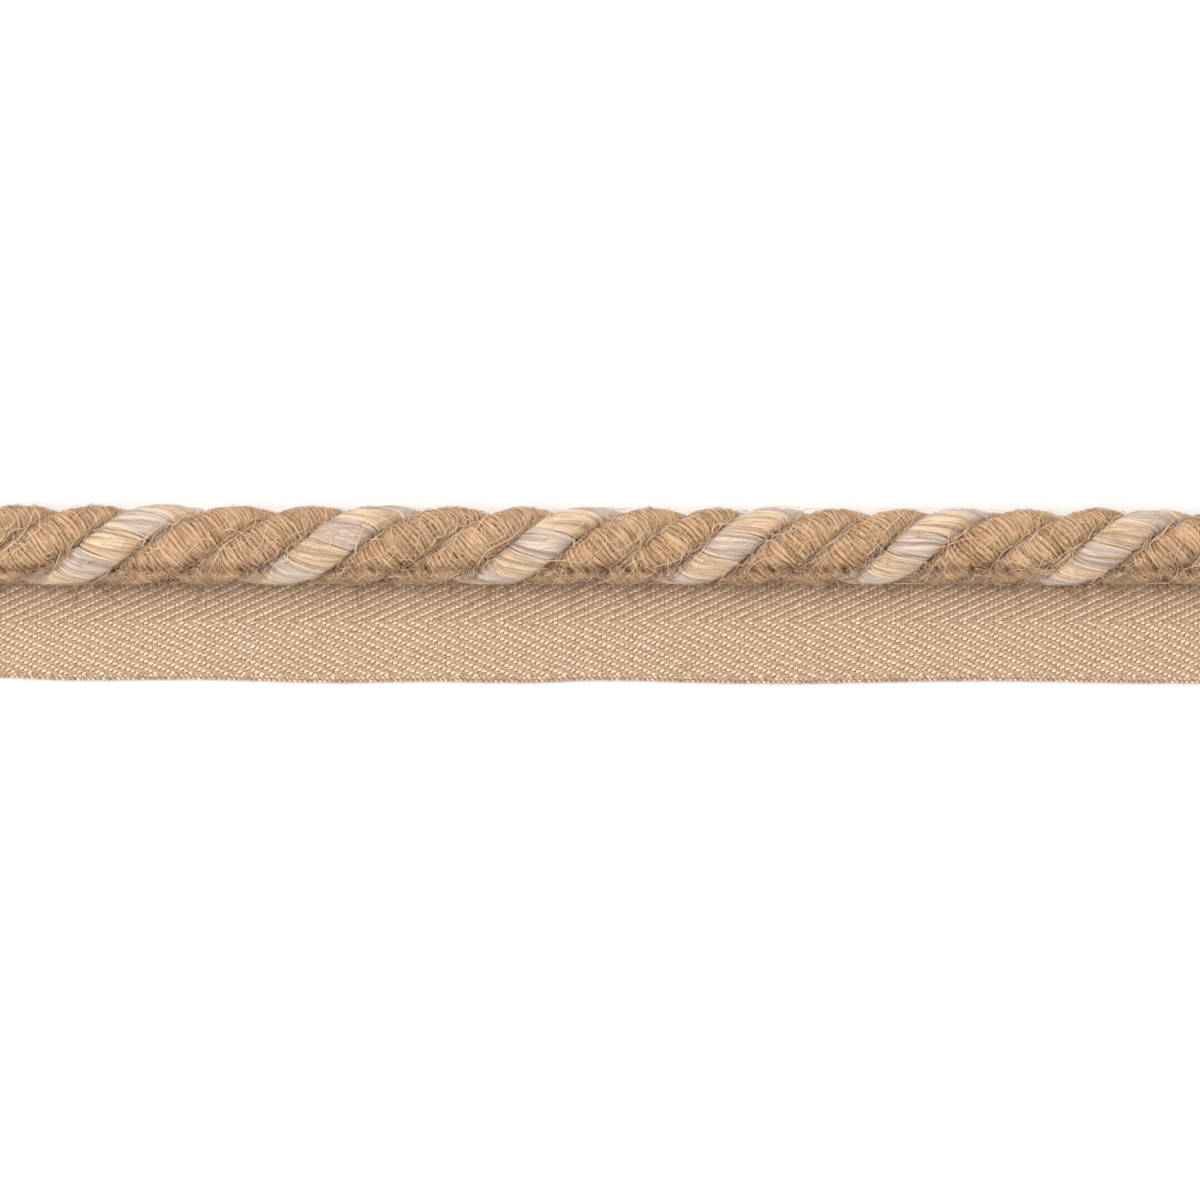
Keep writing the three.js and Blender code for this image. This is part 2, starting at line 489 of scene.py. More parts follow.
def shared_group(name, inputs, build):
    """A node group that is made once. build(wire, its inputs) gives its outputs."""
    group = bpy.data.node_groups.get(name)
    if group:
        return group
    group = bpy.data.node_groups.new(name, "ShaderNodeTree")
    kinds = {type(None): "Vector", tuple: "Color", float: "Float"}
    for label, default in inputs.items():
        kind = "NodeSocket" + kinds[type(default)]
        socket = group.interface.new_socket(label, in_out="INPUT", socket_type=kind)
        if default is not None:
            socket.default_value = default
    wire = Wiring(group)
    made = build(wire, group.nodes.new("NodeGroupInput").outputs)
    end = group.nodes.new("NodeGroupOutput")
    for label, value in made.items():
        kind = "NodeSocketColor" if value.type == "RGBA" else "NodeSocketFloat"
        group.interface.new_socket(label, in_out="OUTPUT", socket_type=kind)
        wire.put(end.inputs[label], value)
    return group


def fibre_streaks():
    """Fine streaks that run along V, for the fibres of a yarn."""
    def build(wire, own):
        scales = wire.node("ShaderNodeCombineXYZ", X=own["Across"], Y=own["Along"], Z=1.0)[0]
        drawn = wire.vector("MULTIPLY", own["Vector"], scales)
        fine = wire.noise(drawn, 1.0, 3.0, 0.65)
        coarse = wire.noise(drawn, 0.45, 1.0)
        return {"Mask": wire.spread(fine, 0.3, 0.7), "Slits": wire.spread(coarse, 0.61, 0.7)}

    return shared_group("Fibre streaks", {"Vector": None, "Across": 9.0, "Along": 0.9}, build)


def yarn_tint():
    """Pale, middle and dark of one dyed yarn, mixed by masks. Shading lays on the dark as painted
    shade; Paleness can carry painted light and shade as well as the yarn's own tone.
    """
    inputs = {
        "Middle": (0.5, 0.3, 0.2, 1), "Pale": (0.8, 0.6, 0.4, 1), "Dark": (0.2, 0.1, 0.05, 1),
        "Streaks": 0.5, "Paleness": 0.0, "Darkness": 0.0,
    }

    def build(wire, own):
        light = wire.math("MULTIPLY_ADD", own["Streaks"], 0.7, own["Paleness"])
        body = wire.mix(wire.spread(light, 0.25, 1.0), own["Middle"], own["Pale"])
        return {"Color": wire.mix(own["Darkness"], body, own["Dark"])}

    return shared_group("Yarn tint", inputs, build)


TWILL_INPUTS = {"Vector": None, "Pick spacing": 0.556, "End spacing": 0.25}


def float_place():
    """1 where the twill's picks float over its ends, on a UV in mm."""
    def build(wire, own):
        place = wire.node("ShaderNodeSeparateXYZ", Vector=own["Vector"])
        ends = wire.math("ABSOLUTE", wire.math("DIVIDE", place["Y"], own["End spacing"]))
        picks = wire.math("DIVIDE", place["X"], own["Pick spacing"])
        number = wire.math("ROUND", ends)
        steps = wire.math("SUBTRACT", picks, number)
        over = wire.math("FRACT", wire.math("MULTIPLY", steps, 1 / TWILL_REPEAT))
        turn = wire.math("MULTIPLY", wire.math("SUBTRACT", ends, number), math.pi)
        rib = wire.math("COSINE", turn)
        apart = wire.spread(wire.math("PINGPONG", over, 0.5), 0.05, 0.16)
        near = wire.math("SUBTRACT", 1.0, apart)
        return {"Mask": wire.math("MULTIPLY", near, wire.spread(rib, 0.0, 0.7)), "Rib": rib}

    return shared_group("Float place", TWILL_INPUTS, build)


def twill_ground():
    """The ground of the herringbone twill between its raised floats, on a UV in mm, with a painted
    shadow just below each float.
    """
    def build(wire, own):
        # The float places shifted a little, where the painted shadow of each float is laid.
        shifted = wire.vector("ADD", own["Vector"], (-0.14, 0.19, 0.0))
        floats, below = (
            wire.group(float_place(), Vector=place, Pick_spacing=own["Pick spacing"],
                       End_spacing=own["End spacing"])
            for place in (own["Vector"], shifted)
        )
        grain = wire.noise(own["Vector"], 2.7, 3.0, 0.85)
        stretched = wire.vector("MULTIPLY", own["Vector"], (1.6, 7.0, 1.0))
        fibres = wire.noise(stretched, 1.0, 2.0, 0.6)
        rib = wire.math("MULTIPLY", floats["Rib"], 0.6)
        deep = wire.math("SUBTRACT", rib, below["Mask"])
        return {
            "Shadows": wire.math("MULTIPLY", below["Mask"], wire.spread(grain, 0.34, 0.54)),
            "Mottle": wire.spread(grain, 0.4, 0.58),
            "Height": wire.math("MULTIPLY_ADD", fibres, 0.9, deep),
        }

    return shared_group("Twill ground", TWILL_INPUTS, build)


class Cloth(Wiring):
    """A material of fibre, being wired."""

    def __init__(self, name, roughness, sheen, tint, specular=0.35):
        self.material = bpy.data.materials.new(name)
        self.material.use_nodes = True
        super().__init__(self.material.node_tree)
        self.shader = self.tree.nodes["Principled BSDF"].inputs
        self.shader["Roughness"].default_value = roughness
        self.shader["Specular IOR Level"].default_value = specular
        self.shader["Sheen Weight"].default_value = sheen
        self.shader["Sheen Roughness"].default_value = 0.45
        self.shader["Sheen Tint"].default_value = tint

    def finish(self, color, height=None, strength=0.8, distance=0.0, invert=False):
        """Joins up a colour, and relief from a height and its depth in metres."""
        self.put(self.shader["Base Color"], color)
        if height:
            bump = self.node("ShaderNodeBump", {"invert": invert}, Strength=strength,
                             Distance=distance, Height=height)
            self.put(self.shader["Normal"], bump["Normal"])
        return self.material


def gimp_material(look):
    """Spun yarn wrapped closely, with painted shade, darker and redder, in its gaps, pits and
    grooves.
    """
    yarn = Cloth("Gimp yarn", 0.9, 0.06, (1.0, 0.8, 0.6, 1), 0.08)
    streaks = yarn.group(fibre_streaks(), Vector=yarn.uv(), Across=10.0, Along=1.1)
    # Painted shade: gap_shade darkens the gaps between wraps and the stitch pits, groove_shade the
    # rope's grooves and the stitch line.
    gap_shade, groove_shade, tone = (yarn.attribute(name) for name in ("gap_shade", "groove_shade", "tone"))
    paleness = yarn.math("MULTIPLY", yarn.math("SUBTRACT", tone, groove_shade), 0.75)
    darkness = yarn.math("MINIMUM", yarn.math("MULTIPLY", gap_shade, look.gap_darkness), 0.95)
    tint = yarn.group(yarn_tint(), Middle=look.middle, Pale=look.pale, Dark=look.dark,
                      Paleness=paleness, Streaks=streaks["Mask"], Darkness=darkness)
    color = yarn.mix(yarn.math("MULTIPLY", groove_shade, 0.75), tint["Color"], look.groove_shade)
    return yarn.finish(color, streaks["Mask"], 0.7, 0.00006)


def floss_material(name, middle, pale, other, dark):
    """Silky floss, with painted shade in its creases and as fine dark lines between its filaments.

    Filaments of the other ply stray in along its borders."""
    floss = Cloth(name, 0.38, 0.25, (1.0, 0.93, 0.85, 1), 0.55)
    streaks = floss.group(fibre_streaks(), Vector=floss.uv(), Across=3.6, Along=0.16)
    # Painted shade: the slits between filaments and the plies' creases and inner parts darken the
    # colour.
    slits = floss.math("MULTIPLY", streaks["Slits"], 0.85)
    crease = floss.math("MAXIMUM", floss.attribute("gap_shade"), slits)
    tint = floss.group(yarn_tint(), Middle=middle, Pale=pale, Dark=dark,
                       Paleness=floss.attribute("tone"), Streaks=streaks["Mask"], Darkness=crease)
    strayed = floss.math("MULTIPLY_ADD", streaks["Mask"], 0.7, floss.attribute("border"))
    strayed = floss.math("MULTIPLY", floss.spread(strayed, 0.55, 1.15), 0.8)
    color = floss.mix(strayed, tint["Color"], other)
    return floss.finish(color, streaks["Mask"], 0.8, 0.00008)


def cut_material(name, middle, dark):
    """The stipple of cut fibre ends."""
    ends = Cloth(name, 0.9, 0.2, WARM_SHEEN)
    cells = ends.node("ShaderNodeTexVoronoi", {"feature": "F1"}, Vector=ends.place(), Scale=4500.0)
    mask = ends.spread(cells["Distance"], 0.2, 0.75)
    return ends.finish(ends.mix(mask, middle, dark), cells["Distance"], 0.8, 0.0001, True)


def tape_material(look):
    """The ground of the tape, a fine matt twill, with a painted shadow below each float."""
    twill = Cloth("Tape twill", 0.85, 0.2, WARM_SHEEN)
    ground = twill.group(twill_ground(), Vector=twill.uv(), Pick_spacing=look.pick_spacing / MM,
                         End_spacing=look.end_spacing / MM)
    mottled = twill.mix(ground["Mottle"], look.ground_dark, look.ground)
    color = twill.mix(twill.math("MULTIPLY", ground["Shadows"], 0.85), mottled, look.float_shadow)
    return twill.finish(color, ground["Height"], 1.0, 0.00006)


def thread_material(name, pale, dark, roughness, sheen):
    """A plain thread or hair whose tone changes from one to the next."""
    thread = Cloth(name, roughness, sheen, (1.0, 0.92, 0.82, 1))
    grain = thread.noise(thread.place(), 3000.0, 1.0)
    tone = thread.math("MULTIPLY", thread.attribute("tone"), 0.85)
    mask = thread.math("MULTIPLY_ADD", grain, 0.3, tone)
    return thread.finish(thread.mix(thread.math("MINIMUM", mask, 1.0), dark, pale))


def color_setting(name, description, default):
    return FloatVectorProperty(name=name, description=description, default=(*default, 1.0),
                               size=4, subtype="COLOR", min=0.0, max=1.0)


def length_setting(name, description, default, low, high):
    return FloatProperty(name=name, description=description, default=default, min=low, max=high,
                         unit="LENGTH", precision=5)


class LIPCORD_PG_gimp(bpy.types.PropertyGroup):
    """Sizes and colours of the gimp strands."""

    wrap: length_setting("Wrap spacing", "Distance between wraps along the strand's axis",
                         0.00054, 0.0003, 0.0015)
    depth: length_setting("Wrap depth", "Depth of the gaps between wraps", 0.0003, 0.0, 0.0005)
    middle: color_setting("Yarn", "Middle tone of the yarn", (0.37, 0.204, 0.103))
    pale: color_setting("Yarn, pale", "Pale fibres of the yarn", (0.76, 0.495, 0.295))
    # The gap and groove colours are painted shade, between the wraps and in the rope's grooves;
    # gap darkness sets its strength.
    dark: color_setting("Gaps", "Colour between the wraps", (0.17, 0.082, 0.034))
    groove_shade: color_setting("Grooves", "Colour in the grooves of the rope", (0.39, 0.18, 0.09))
    gap_darkness: FloatProperty(name="Gap darkness", default=0.92, min=0.0, max=1.0,
                                description="How dark the gaps between wraps are",
                                subtype="FACTOR")


class LIPCORD_PG_floss(bpy.types.PropertyGroup):
    """Colours of the pale strand's plies."""

    silver: color_setting("Silver", "Silver ply", (0.45, 0.33, 0.25))
    # The pale colours are the plies' paler fibres, and are also laid on as painted light near the
    # rope's sewn edge and near its top.
    silver_pale: color_setting("Silver, pale", "Shine of the silver ply", (0.75, 0.61, 0.50))
    cream: color_setting("Cream", "Cream ply", (0.47, 0.295, 0.16))
    cream_pale: color_setting("Cream, pale", "Shine of the cream ply", (0.86, 0.63, 0.405))
    # The line colour is painted shade, laid as lines between the filaments and in the plies'
    # creases; it is also the dark of the cut ends' stipple.
    line: color_setting("Lines", "Lines between the filaments", (0.30, 0.18, 0.105))


class LIPCORD_PG_tape(bpy.types.PropertyGroup):
    """Sizes and colours of the tape."""

    thickness: length_setting("Thickness", "Thickness of the woven cloth", 0.00065, 0.0003, 0.0008)
    pick_spacing: length_setting("Pick spacing", "Distance between picks", 0.000556, 0.0002, 0.002)
    end_spacing: length_setting("End spacing", "Distance between warp ends", 0.00025, 0.0001,
                                0.001)
    ground: color_setting("Ground", "Tape between its floats", (0.60, 0.415, 0.28))
    ground_dark: color_setting("Ground, dark", "Dark mottle of the tape", (0.33, 0.205, 0.12))
    float_shadow: color_setting("Shadows", "Shade below the floats", (0.20, 0.115, 0.06))
    floats: color_setting("Floats", "Raised pale floats", (0.94, 0.73, 0.54))
    floats_dark: color_setting("Floats, dull", "Dullest floats", (0.66, 0.46, 0.305))


class LIPCORD_PG_stitch(bpy.types.PropertyGroup):
    """The line of stitches."""

    spacing: length_setting("Spacing", "Distance between stitches", 0.00227, 0.001, 0.006)
    channel: length_setting("Channel", "Depth of the line drawn in by the thread", 0.0005, 0.0,
                            0.002)
    pit: length_setting("Pits", "Depth of the pit at each stitch", 0.0013, 0.0, 0.002)
    thread: color_setting("Thread", "Sewing thread", (0.42, 0.24, 0.13))


class LIPCORD_PG_fuzz(bpy.types.PropertyGroup):
    """Hairs of the spun yarn."""

    per_strand: IntProperty(name="Hairs", description="Hairs on each gimp strand", default=3600,
                            min=0, max=5000)
    radius: length_setting("Hair radius", "Radius of a hair", 0.000042, 0.000005, 0.0001)
    pale: color_setting("Hair", "Pale hairs", (0.92, 0.68, 0.45))
    dark: color_setting("Hair, dark", "Reddish hairs", (0.28, 0.14, 0.07))


class LIPCORD_PG_stage(bpy.types.PropertyGroup):
    """Floor, light and camera."""

    floor: color_setting("Floor", "Colour of the floor", (0.97, 0.97, 0.97))
    view_width: FloatProperty(name="View width", description="Width of the camera's view",
                              default=0.15, min=0.05, max=1.0, unit="LENGTH")
    lamp_power: FloatProperty(name="Lamp", description="Power of the soft lamp", default=12.0,
                              min=0.0, unit="POWER")
    fill: FloatProperty(name="Fill", description="Strength of the light from all round",
                        default=0.56, min=0.0, max=5.0)


class LIPCORD_PG_settings(bpy.types.PropertyGroup):
    """All settings of the lip cord."""

    gimp: PointerProperty(type=LIPCORD_PG_gimp)
    floss: PointerProperty(type=LIPCORD_PG_floss)
    tape: PointerProperty(type=LIPCORD_PG_tape)
    stitch: PointerProperty(type=LIPCORD_PG_stitch)
    fuzz: PointerProperty(type=LIPCORD_PG_fuzz)
    stage: PointerProperty(type=LIPCORD_PG_stage)


class LIPCORD_OT_stage(bpy.types.Operator):
    """Makes the camera, the soft light and the pale floor"""

    bl_idname = "lip_cord.stage"
    bl_label = "Stage"

    def execute(self, context):
        look = context.scene.lip_cord.stage
        lens = bpy.data.cameras.new("camera")
        lens.sensor_width = SENSOR_WIDTH
        lens.lens = FOCAL_LENGTH
        lens.clip_end = 20
        camera = show("camera", lens)
        camera.location = (0, CAMERA_Y, look.view_width * lens.lens / lens.sensor_width)
        context.scene.camera = camera

        lamp = bpy.data.lights.new("soft lamp", "AREA")
        lamp.shape = "RECTANGLE"
        lamp.size = LAMP_LENGTH
        lamp.size_y = LAMP_WIDTH
        lamp.energy = look.lamp_power
        holder = show("soft lamp", lamp)
        holder.location = LAMP_PLACE
        holder.rotation_euler = (-LAMP_PLACE).to_track_quat("-Z", "Y").to_euler()

        world = bpy.data.worlds.new("studio")
        world.use_nodes = True
        sky = world.node_tree.nodes["Background"]
        sky.inputs["Color"].default_value = (1.0, 1.0, 1.0, 1)
        sky.inputs["Strength"].default_value = look.fill
        context.scene.world = world
        context.scene.view_settings.view_transform = "Standard"

        work = bmesh.new()
        bmesh.ops.create_grid(work, x_segments=1, y_segments=1, size=FLOOR_HALF_SIZE)
        bmesh.ops.translate(work, verts=work.verts, vec=(0, 0, FLOOR_Z))
        floor = show("floor", finished(work, "floor"))
        material = bpy.data.materials.new("Floor paper")
        material.use_nodes = True
        shader = material.node_tree.nodes["Principled BSDF"]
        shader.inputs["Base Color"].default_value = look.floor
        shader.inputs["Roughness"].default_value = 0.9
        floor.data.materials.append(material)
        return {"FINISHED"}


class LIPCORD_OT_gimp(bpy.types.Operator):
    """Wraps the two gimp strands and lays them into the rope"""

    bl_idname = "lip_cord.gimp"
    bl_label = "Gimp Strands"

    def execute(self, context):
        look = context.scene.lip_cord.gimp
        materials = [gimp_material(look), cut_material("Gimp cut", look.middle, look.dark)]
        for seed, (name, strand) in enumerate(GIMP_STRANDS.items(), 11):
            mesh = self.wrapped(name, strand, look, seed)
            close_and_cut(mesh)
            add_piece(mesh, materials, name)
        return {"FINISHED"}

    def wrapped(self, name, strand, look, seed):
        """A strand's skin of yarn wraps. Its yarn runs round in a few starts."""
        per_wrap, starts, around = 6, 3, 28
        past_end, round_strand = 6, 13.0
        wrap_width = look.wrap / MM
        reach = (HALF_LENGTH + past_end) * LENGTH_SHARE
        rows = int(2 * reach / wrap_width) * per_wrap
        mesh, across, along = grid_mesh(name + "_yarn", around, rows)
        row = np.round(along * rows).astype(int)
        middle = 2 * across - 1
        turn = np.pi * (0.75 * middle + 0.25 * middle ** 3)
        wrap = row // per_wrap
        part = (row % per_wrap) / per_wrap
        length = (wrap // starts) + across
        table = np.random.default_rng(seed).normal(0, 1, (6, starts, 4096))

        def yarn_noise(which, nodes):
            yarns = [along_table(table[which, j], length * nodes) for j in range(starts)]
            return np.choose(wrap % starts, yarns)

        arc = -reach + (row + starts * per_wrap * across) * wrap_width / per_wrap
        waver = (np.sin(2 * np.pi * arc / 3.1 + 3 * turn + 1)
                 + np.sin(2 * np.pi * arc / 7.7 - 2 * turn))
        arc = arc + 0.07 * waver + 0.045 * yarn_noise(0, 7)
        skin = round_gimp(strand, arc, turn)
        grid = skin.reshape(rows + 1, around + 1, 3)
        ahead = round_gimp(strand, arc + 0.2, turn).reshape(grid.shape) - grid
        normal = unit(np.cross(ahead, np.gradient(grid, axis=1)))
        crown = around // 2
        outward = np.sign(np.sum(normal[:, crown] * (grid[:, crown] - grid[:, 0]), axis=-1))
        normal = (normal * outward[:, None, None]).reshape(-1, 3)

        ridge = np.sqrt(np.clip(1 - (2 * part - 1) ** 2, 0, 1))
        open_gap = 0.78 + 0.32 * yarn_noise(1, 9) + 0.18 * yarn_noise(5, 2.3)
        open_gap = np.clip(open_gap, 0.1, 1.5)
        carve = (1 - ridge) * open_gap * look.depth / MM
        carve += 0.03 * np.clip(yarn_noise(2, 8), -1.5, 1.5) + 0.02
        carve *= 1 - smooth_step(np.abs(turn), 2.4, 3.0)
        set_points(mesh, skin - normal * carve[:, None])
        set_uv(mesh, lambda u, v: v * rows * wrap_width / per_wrap, lambda u, v: u * round_strand)

        x, y, z = skin.T
        # Painted shade: the colour is darkened towards each strand's sides in the rope's grooves,
        # along the stitch line, at the stitch pits and in the gaps between wraps.
        groove_shade = smooth_step(np.abs(turn), 0.85, 1.75)
        sewn = np.exp(-(((y - STITCH_Y) / 0.45) ** 2)) * smooth_step(z, 4, 6)
        pit = smooth_step(drawn_down(x, y, z + 1), 0.7, 1.4)
        gap_shade = (1 - ridge) ** 0.75 * np.clip(open_gap, 0, 1.2)
        set_attribute(mesh, "gap_shade", np.maximum(gap_shade, 0.85 * pit))
        set_attribute(mesh, "groove_shade", np.clip(groove_shade + 0.35 * sewn, 0, 1))
        set_attribute(mesh, "tone", 0.5 + 0.16 * yarn_noise(3, 1.3) + 0.1 * yarn_noise(4, 6))
        return mesh


class LIPCORD_OT_floss(bpy.types.Operator):
    """Twists the silver and cream plies of the pale strand"""

    bl_idname = "lip_cord.floss"
    bl_label = "Floss Plies"

    def execute(self, context):
        look = context.scene.lip_cord.floss
        plies = (
            ("pale_ply_silver", "floss_silver", look.silver, look.silver_pale, look.cream_pale),
            ("pale_ply_cream", "floss_cream", look.cream, look.cream_pale, look.silver_pale),
        )
        for number, (name, slot, middle, pale, other) in enumerate(plies):
            mesh = self.ply(name, number / 2, 31 + number)
            close_and_cut(mesh)
            label = name.replace("_", " ").capitalize()
            floss = floss_material(label, middle, pale, other, look.line)
            add_piece(mesh, [floss, cut_material(label + " cut", pale, look.line)], name)
        return {"FINISHED"}

    def ply(self, name, start, seed):
        """A ply's skin, creased between its twisted bundles of filaments."""
        around, rows, past_end = 36, 840, 4
        round_ply_mm, v_per_mm = 8.5, 1.8
        length = 2 * (HALF_LENGTH + past_end)
        mesh, across, along = grid_mesh(name + "_floss", around, rows)
        x = length * (along - 0.5)
        turn = np.pi * (2 * across - 1)
        skin = round_ply(start, x, turn)
        outward = unit(skin - round_ply(start, x, turn, -0.3))
        rng = np.random.default_rng(seed)
        own_twist = 2 * np.pi * x / FLOSS_TWIST
        bundles = np.zeros_like(x)
        for lobes, drift in ((5, 0.05), (9, -0.09), (14, 0.12)):
            phase = rng.uniform(0, 2 * np.pi)
            bundles += np.sin(lobes * (turn + own_twist) + 2 * np.pi * drift * x + phase)
        crease = np.clip(-bundles - 0.8, 0, 1)
        carve = 0.08 * crease + 0.035 * (1 - np.abs(bundles) / 3)
        set_points(mesh, skin - outward * carve[:, None])
        set_uv(mesh, lambda u, v: (u + v * length / FLOSS_TWIST) * round_ply_mm,
               lambda u, v: v * length * v_per_mm)
        y, z = skin[:, 1], skin[:, 2]
        # Painted shade: the plies are darker where they turn in towards the rope's middle, and in
        # their creases.
        deep = smooth_step(np.hypot(y - ROPE_RADIUS, z - ROPE_RADIUS), 4.0, 3.0) * 0.25
        set_attribute(mesh, "gap_shade", np.clip(crease * 0.5 + deep, 0, 0.9))
        # Painted light: the plies' tone is paler near the rope's sewn edge and near its top; it is
        # also paler on the raised bundles.
        painted_light = smooth_step(y, 1.9, 0.9) + 0.2 * smooth_step(y, 6.4, 7.4)
        set_attribute(mesh, "tone", 0.35 + 0.12 * bundles + 0.65 * painted_light)
        out = filled_out(np.cos(turn), np.sin(turn), PLY_FULLNESS)[0]
        set_attribute(mesh, "border", smooth_step(PLY_ORBIT + PLY_HALF_DEPTH * out, 0.42, 0.0))
        return mesh


class LIPCORD_OT_tape(bpy.types.Operator):
    """Weaves the herringbone tape, its raised floats and its selvedge"""

    bl_idname = "lip_cord.tape"
    bl_label = "Herringbone Tape"

    def execute(self, context):
        look = context.scene.lip_cord.tape
        cloth = self.ground(look)
        floats = self.floats(look)
        selvedge = self.selvedge(look)
        return {"FINISHED"}

    def across_tape(self, x, v):
        """y at a distance v from the twill's reversal, towards the rope."""
        low = (smooth_through(EDGE_X, EDGE_Y, x) - REVERSAL) / -REVERSAL_TO_EDGE
        return REVERSAL + np.where(v < 0, v * low, v)

    def top_at(self, x, v):
        return TAPE_TOP + 0.02 * np.sin(x / 5.3 + v / 3) + 0.015 * np.sin(x / 2.1 - v)

    def ground(self, look):
        columns, rows = 200, 24
        width = REVERSAL_TO_EDGE + REVERSAL_TO_INNER_EDGE
        mesh, u, v = grid_mesh("tape_cloth", columns, rows)
        x = (2 * u - 1) * HALF_LENGTH
        v = -REVERSAL_TO_EDGE + v * width
        rounded = 0.22 * smooth_step(v, -REVERSAL_TO_EDGE + 0.5, -REVERSAL_TO_EDGE)
        top = self.top_at(x, v) - rounded
        set_points(mesh, np.stack([x, self.across_tape(x, v), top], axis=-1))
        set_uv(mesh, lambda u, v: (2 * u - 1) * HALF_LENGTH + TWILL_START,
               lambda u, v: -REVERSAL_TO_EDGE + v * width)
        set_smooth(mesh)
        piece = add_piece(mesh, [tape_material(look)], "tape")
        wall = piece.modifiers.new("thickness", "SOLIDIFY")
        wall.thickness = look.thickness
        wall.offset = -1
        return piece

    def float_sites(self, look):
        """x, and distance from the reversal, of each float of the twill."""
        pick_spacing, end_spacing = look.pick_spacing / MM, look.end_spacing / MM
        first = math.floor((-HALF_LENGTH + TWILL_START) / pick_spacing) + 1
        last = math.floor((HALF_LENGTH + TWILL_START) / pick_spacing)
        most_rows, inner_margin, outer_margin = 9, 0.2, 0.75
        sites = []
        for pick in range(first, last):
            x = pick * pick_spacing - TWILL_START
            for row in range(most_rows):
                v = end_spacing * (pick % TWILL_REPEAT + TWILL_REPEAT * row)
                if v < REVERSAL_TO_INNER_EDGE - inner_margin:
                    sites.append((x, v))
                if 0 < v < REVERSAL_TO_EDGE - outer_margin:
                    sites.append((x, -v))
        return np.array(sites).T

    def floats(self, look):
        rng = np.random.default_rng(71)
        x, v = self.float_sites(look)
        count = len(x)
        x = x + rng.normal(0, 0.02, count)
        v = v + rng.normal(0, 0.015, count)
        places = (x, self.across_tape(x, v), self.top_at(x, v) - 0.02)
        tilt = 0.28 + rng.normal(0, 0.15, count)
        half_long = np.where(v > 0, 0.265, 0.31) * rng.uniform(0.85, 1.12, count)
        half_wide = np.where(v > 0, 0.17, 0.185) * rng.uniform(0.85, 1.15, count)
        height = 0.13 * rng.uniform(0.8, 1.2, count)
        tones = np.clip(rng.normal(0.75, 0.2, count), 0.1, 1)
        mesh = lay_beads("tape_floats", True, places, tilt, (half_long, half_wide, height), tones)
        material = thread_material("Tape floats", look.floats, look.floats_dark, 0.6, 0.2)
        return add_piece(mesh, [material])

    def selvedge(self, look):
        """Loops in pairs along the free edge, every other one round its edge."""
        count = 2 * (int(2 * HALF_LENGTH / SELVEDGE_SPACING) - 1)
        rng = np.random.default_rng(83)
        number = np.arange(count)
        outer = number % 2 == 0
        x = -HALF_LENGTH + SELVEDGE_SPACING * (number // 2 + 0.8) + rng.normal(0, 0.04, count)
        x = x + np.where(outer, 0, 0.3)
        v = -REVERSAL_TO_EDGE + np.where(outer, 0.12, 0.5)
        places = (x, self.across_tape(x, v) + rng.normal(0, 0.02, count),
                  np.where(outer, 0.43, 0.72))
        tilt = np.where(outer, -0.55, -0.5) + rng.normal(0, 0.12, count)
        half_sizes = [np.where(outer, *pair) for pair in ((0.36, 0.3), (0.18, 0.16), (0.41, 0.2))]
        tones = np.clip(rng.normal(0.45, 0.25, count), 0, 1)
        mesh = lay_beads("tape_selvedge", False, places, tilt, half_sizes, tones)
        material = thread_material("Tape selvedge", look.floats, look.ground_dark, 0.7, 0.2)
        return add_piece(mesh, [material])


class LIPCORD_OT_stitches(bpy.types.Operator):
    """Sews the rope to the tape, above and below"""

    bl_idname = "lip_cord.stitches"
    bl_label = "Stitches"

    def execute(self, context):
        look = context.scene.lip_cord.stitch
        spacing, channel = look.spacing / MM, look.channel / MM
        first = math.ceil((-HALF_LENGTH + 1 - STITCH_FIRST_X) / spacing)
        last = math.floor((HALF_LENGTH - 1 - STITCH_FIRST_X) / spacing)
        start = STITCH_FIRST_X + np.arange(first, last)[:, None] * spacing
        count = len(start)
        sway = np.random.default_rng(91).normal(0, 0.08, (count, 1))

        def above(t):
            x = start + spacing * t
            y = STITCH_Y + sway * arch(t)
            dip = 1.6 * (1 - arch(t) ** 0.5)
            return np.stack([x, y, crown_height(x, y) - channel - 0.5 - dip], axis=-1)

        def below(t):
            x = start + spacing * (0.06 + 0.88 * t)
            y = STITCH_Y + sway * arch(t)
            return np.stack([x, y, 0.36 - 0.22 * arch(t) ** 0.5], axis=-1)

        thread = thread_material("Sewing thread", look.thread, look.thread, 0.6, 0.2)
        for name, path, radius in (("stitches_top", above, 0.12), ("stitches_back", below, 0.14)):
            mesh = lay_hairs(name, path, np.full(count, radius), 8, np.full(count, 0.6))
            add_piece(mesh, [thread])
        return {"FINISHED"}


